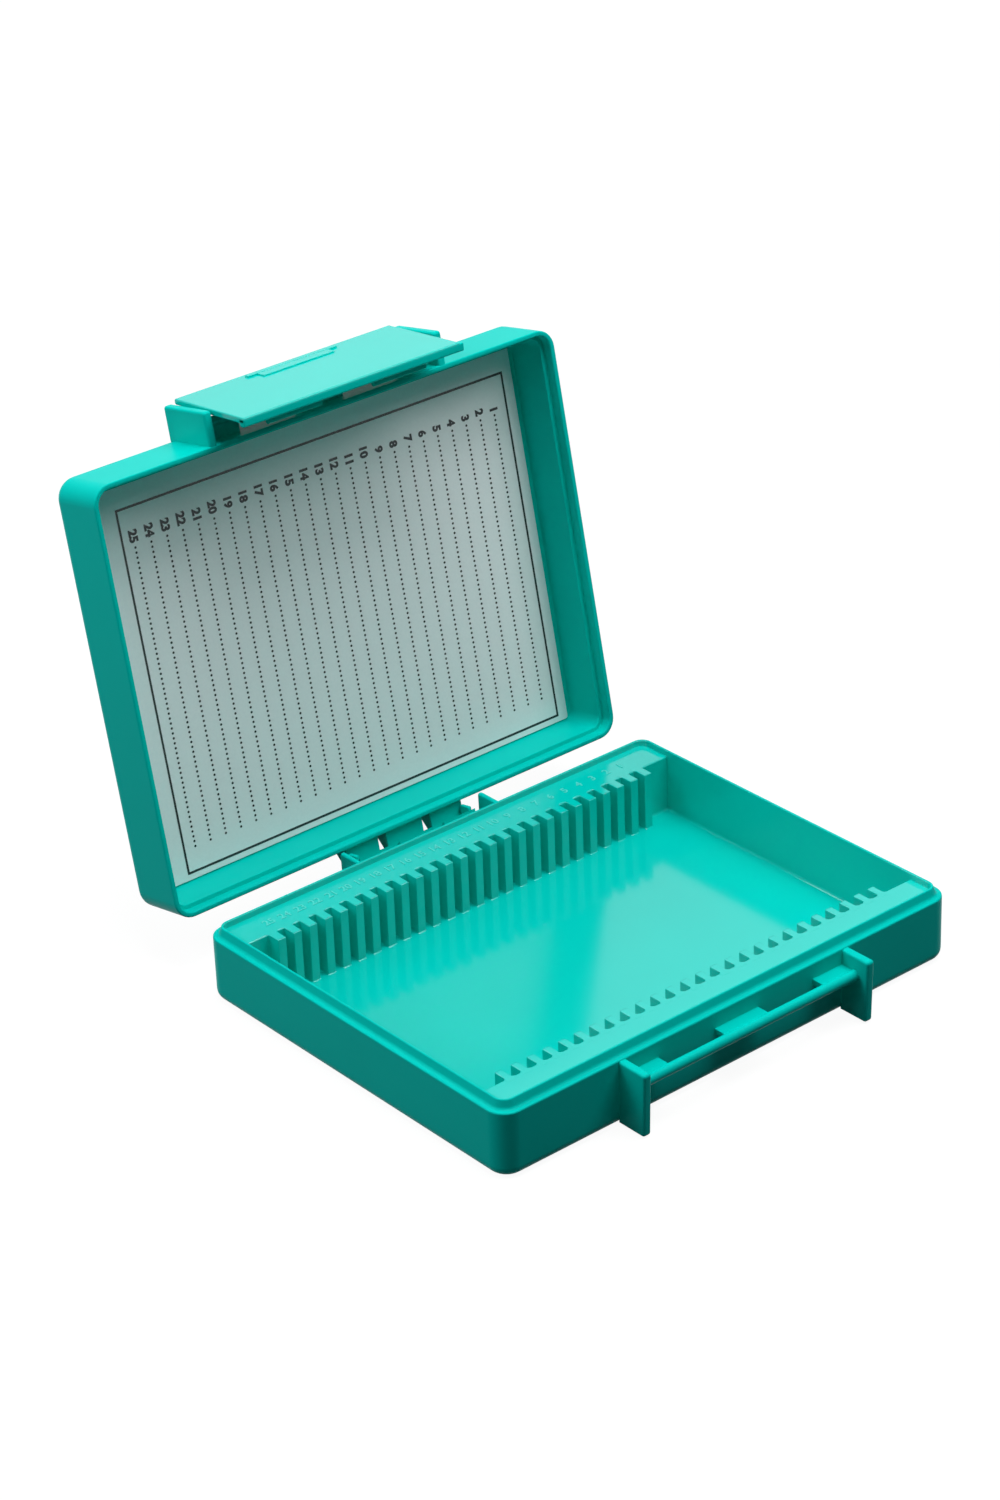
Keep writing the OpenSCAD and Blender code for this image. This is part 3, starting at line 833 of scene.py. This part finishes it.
# Uncoated card is matt and a little cloudy: its fibres are drawn coarser than they are so that they show
card_material = bpy.data.materials.new("uncoated_card")
card_material.use_nodes = True
tree = card_material.node_tree
tree.nodes.clear()
place = node(tree, "ShaderNodeTexCoord").outputs["Object"]
fibre = node(tree, "ShaderNodeTexNoise", [("Vector", place)], Scale=1 / FIBRE, Detail=4.0)
paper = node(tree, "ShaderNodeValToRGB", [("Fac", fibre.outputs["Fac"])])
paper.color_ramp.elements[0].color = linear("#e9eef0")
paper.color_ramp.elements[1].color = linear("#f5f8f9")
felt = node(tree, "ShaderNodeBump", [("Height", fibre.outputs["Fac"])], Distance=FELT_DEPTH, Strength=0.5)
shader = node(
    tree,
    "ShaderNodeBsdfPrincipled",
    [("Base Color", paper.outputs["Color"]), ("Normal", felt.outputs["Normal"])],
    Roughness=0.7,
)
node(tree, "ShaderNodeOutputMaterial", [("Surface", shader.outputs["BSDF"])])

card_sine, card_cosine = quarter(3)
card_inset = CARD_EDGE * np.concatenate([1 - card_sine, 1 - card_cosine])
card_z = np.concatenate([CARD_EDGE * (1 - card_cosine), card_size[2] - CARD_EDGE * (1 - card_sine)])
card_radius = CARD_CORNER - card_inset
card_sheet = swept_round_box(card_inset, card_radius, card_z, *card_size[:2], steps=5, capped=True)
card_middle = (*((card_low + card_high) / 2)[:2], card_low[2])
card_parts = opened(moved(card_sheet, card_middle))
finished("card", *card_parts, [card_material], "cover", "card_stock", ["index_card"])

# Offset ink soaks into the card, which leaves a dull black with a slight mottle
INK_MOTTLE = 0.5 * MM
INK_LIFT = 0.02 * MM
ink = bpy.data.materials.new("black_offset_ink")
ink.use_nodes = True
tree = ink.node_tree
tree.nodes.clear()
place = node(tree, "ShaderNodeTexCoord").outputs["Object"]
mottle = node(tree, "ShaderNodeTexNoise", [("Vector", place)], Scale=1 / INK_MOTTLE, Detail=2.0)
black = node(tree, "ShaderNodeValToRGB", [("Fac", mottle.outputs["Fac"])])
black.color_ramp.elements[0].color = linear("#14181a")
black.color_ramp.elements[1].color = linear("#20262a")
shader = node(tree, "ShaderNodeBsdfPrincipled", [("Base Color", black.outputs["Color"])], Roughness=0.55)
node(tree, "ShaderNodeOutputMaterial", [("Surface", shader.outputs["BSDF"])])

PRINT_Z = card_low[2] - INK_LIFT
FRAME_LEFT, FRAME_RIGHT = -50.5 * MM, 56.8 * MM
FRAME_FRONT, FRAME_REAR = -38.8 * MM, 44.7 * MM
FRAME_LINE = 0.55 * MM
FIRST_COLUMN, LAST_COLUMN = 53.0 * MM, -47.5 * MM
LINE_START, LINE_END = -29.8 * MM, 40.0 * MM
DOT_PITCH = 1.15 * MM
DOT_RADIUS = 0.31 * MM
DOT_SIDES = 8
DIGIT_HEIGHT = 2.35 * MM
DIGIT_BOLDNESS = 0.055
LAST_DIGIT_END = -30.9 * MM


def printed(name, flat_points, faces):
    """A piece of print: flat points (x, y) of the shut lid, laid on the card's face and turned open."""
    points = np.column_stack([flat_points, np.full(len(flat_points), PRINT_Z)])
    return finished(name, turned(points, -open_angle), faces, [ink], "cover", "card_stock")


half_line = FRAME_LINE / 2
corners = np.array([[-1, -1], [1, -1], [1, 1], [-1, 1]])
frame_middle = np.array([FRAME_LEFT + FRAME_RIGHT, FRAME_FRONT + FRAME_REAR]) / 2
frame_half = np.array([FRAME_RIGHT - FRAME_LEFT, FRAME_REAR - FRAME_FRONT]) / 2
frame_outer = frame_middle + corners * (frame_half + half_line)
frame_inner = frame_middle + corners * (frame_half - half_line)
frame_faces = [(i, i + 4, (i + 1) % 4 + 4, (i + 1) % 4) for i in range(4)]
printed("print_frame", np.vstack([frame_outer, frame_inner]), frame_faces)

column_x = np.linspace(FIRST_COLUMN, LAST_COLUMN, SLIDES)
dot_y = np.arange(LINE_START, LINE_END, DOT_PITCH)
around = np.linspace(0, 2 * math.pi, DOT_SIDES, endpoint=False)
ring = DOT_RADIUS * np.column_stack([np.cos(around), np.sin(around)])
dots = np.stack(np.meshgrid(column_x, dot_y, indexing="ij"), axis=-1)[:, :, None, :] + ring
dot_faces = np.arange(dots.size // 2).reshape(-1, DOT_SIDES)[:, ::-1]
printed("print_dots", dots.reshape(-1, 2), dot_faces.tolist())

numbers = []
for i in range(SLIDES):
    shape, shape_faces = numeral(i + 1, DIGIT_HEIGHT, DIGIT_BOLDNESS, 0.0)
    reading_y = LAST_DIGIT_END - shape[:, 0].max() + shape[:, 0]
    up_x = column_x[i] - DIGIT_HEIGHT / 2 + shape[:, 1]
    numbers.append((np.column_stack([up_x, reading_y]), shape_faces))
printed("print_numbers", *joined(numbers))


# Studio
# A pale floor that turns white away from the box, a white room, and the camera where the photograph was
# taken. Four softboxes: one overhead, one near at the right, one at the left and one behind.

scene = bpy.context.scene
scene.view_settings.view_transform = "Standard"
WHITE = (1, 1, 1, 1)
ROOM_FILL = 0.03


def shown_rays(tree):
    """1 for the rays that show the background white: those of the camera, of gloss and of glass."""
    rays = node(tree, "ShaderNodeLightPath").outputs
    looks = [(0, rays["Is Camera Ray"]), (1, rays["Is Glossy Ray"])]
    seen = node(tree, "ShaderNodeMath", looks, operation="MAXIMUM")
    looks = [(0, seen.outputs[0]), (1, rays["Is Transmission Ray"])]
    return node(tree, "ShaderNodeMath", looks, operation="MAXIMUM").outputs[0]


world = bpy.data.worlds.new("white_room")
scene.world = world
world.use_nodes = True
tree = world.node_tree
tree.nodes.clear()
shown = shown_rays(tree)
fill = node(tree, "ShaderNodeBackground", Color=WHITE, Strength=ROOM_FILL)
white = node(tree, "ShaderNodeBackground", Color=WHITE, Strength=1.0)
mixed = node(tree, "ShaderNodeMixShader", [("Fac", shown), (1, fill.outputs[0]), (2, white.outputs[0])])
node(tree, "ShaderNodeOutputWorld", [("Surface", mixed.outputs[0])])

# Matt grey that takes the box's shadow, with a glow that hides its edge against the white room
FLOOR_GREY = (0.1, 0.1, 0.1, 1)
FLOOR_GLOW = 0.94
FADE_START, FADE_END = 0.3, 0.8
floor_material = bpy.data.materials.new("pale_floor")
floor_material.use_nodes = True
tree = floor_material.node_tree
tree.nodes.clear()
shown = shown_rays(tree)
place = node(tree, "ShaderNodeTexCoord").outputs["Object"]
away = node(tree, "ShaderNodeVectorMath", [(0, place)], operation="LENGTH")
fade = node(
    tree,
    "ShaderNodeMapRange",
    [("Value", away.outputs["Value"])],
    From_Min=FADE_START,
    From_Max=FADE_END,
    To_Min=FLOOR_GLOW,
    To_Max=1.0,
)
pale = node(tree, "ShaderNodeBsdfDiffuse", Color=FLOOR_GREY)
glow = node(tree, "ShaderNodeEmission", [("Strength", fade.outputs["Result"])], Color=WHITE)
lit = node(tree, "ShaderNodeAddShader", [(0, pale.outputs[0]), (1, glow.outputs[0])])
mixed = node(tree, "ShaderNodeMixShader", [("Fac", shown), (1, pale.outputs[0]), (2, lit.outputs[0])])
node(tree, "ShaderNodeOutputMaterial", [("Surface", mixed.outputs[0])])

FLOOR_HALF = 4.0
floor_mesh = bpy.data.meshes.new("floor")
floor_corners = np.column_stack([FLOOR_HALF * corners, np.zeros(len(corners))])
floor_mesh.from_pydata(floor_corners.tolist(), [], [(0, 1, 2, 3)])
floor_mesh.materials.append(floor_material)
floor = bpy.data.objects.new("floor", floor_mesh)
scene.collection.objects.link(floor)

BOX_MIDDLE = Vector((0, 0.02, 0.03))


def softbox(name, place, size, power):
    """A square area lamp of the given size at a place, turned to the middle of the box."""
    lamp = bpy.data.lights.new(name, "AREA")
    lamp.size = size
    lamp.energy = power
    holder = bpy.data.objects.new(name, lamp)
    holder.location = place
    toward = BOX_MIDDLE - Vector(place)
    holder.rotation_euler = toward.to_track_quat("-Z", "Y").to_euler()
    holder.visible_camera = False
    scene.collection.objects.link(holder)


softbox("overhead_softbox", (0, -0.05, 1.1), size=0.5, power=5.5)
softbox("near_softbox", (0.15, -0.12, 0.42), size=0.25, power=0.96)
softbox("left_softbox", (-0.5, 0.25, 0.45), size=0.4, power=1.8)
softbox("rear_softbox", (0, 0.7, 0.9), size=0.4, power=1.9)

# Place, turn and lens were fitted to the box's edges in the photograph
camera = bpy.data.cameras.new("photo_camera")
camera.lens = 93.36
camera.sensor_width = 36.0
camera_holder = bpy.data.objects.new("photo_camera", camera)
camera_holder.location = (-0.46643, -0.54385, 0.43958)
camera_holder.rotation_euler = [math.radians(angle) for angle in (61.8053, 1.9198, -40.4122)]
scene.collection.objects.link(camera_holder)
scene.camera = camera_holder
